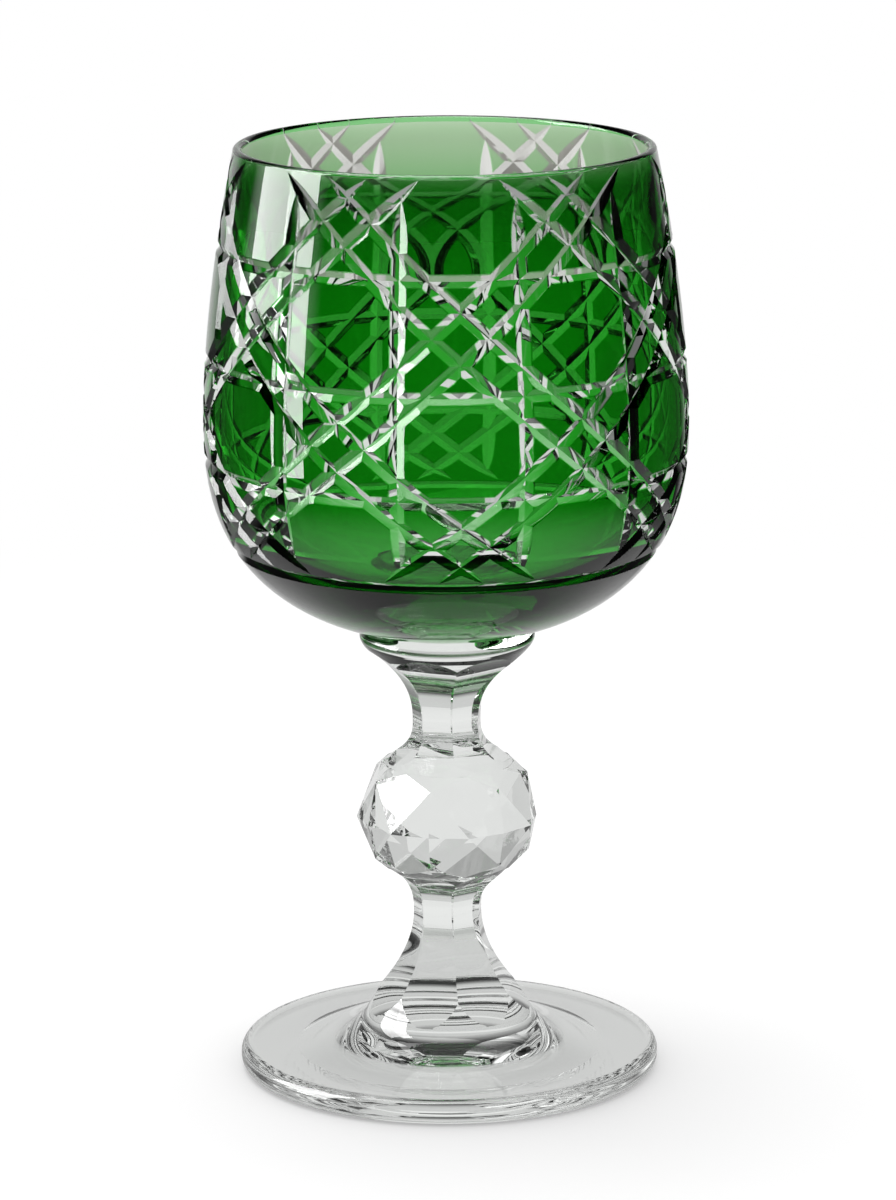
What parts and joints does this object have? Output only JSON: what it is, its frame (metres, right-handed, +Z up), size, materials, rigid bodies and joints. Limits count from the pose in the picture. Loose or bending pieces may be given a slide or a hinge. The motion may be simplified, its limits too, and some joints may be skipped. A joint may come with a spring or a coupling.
{
  "type": "wine glass",
  "caption": "Stemmed wine glass: clear bowl in a green casing cut with rings, uprights and crossed diamonds, on a fluted stem with a cut ball and a round foot.",
  "frame": {"origin": "on the glass's axis, on the surface that the foot stands on", "axes": "+Z up along the axis, -Y towards the front, where a column of crossed diamonds is in the middle"},
  "size_m": [0.0764, 0.0764, 0.1489],
  "materials": {
    "foot": "clear crystal, fire polished",
    "stem": "clear crystal, cut and polished",
    "collar": "clear crystal, fire polished",
    "bowl": "clear crystal, polished",
    "green_casing": "transparent green glass, cut and polished"
  },
  "bodies": {
    "root": {"foot": "foot", "stem": "stem", "collar": "collar", "bowl": "bowl", "green_casing": "green_casing"}
  },
  "joints": []
}
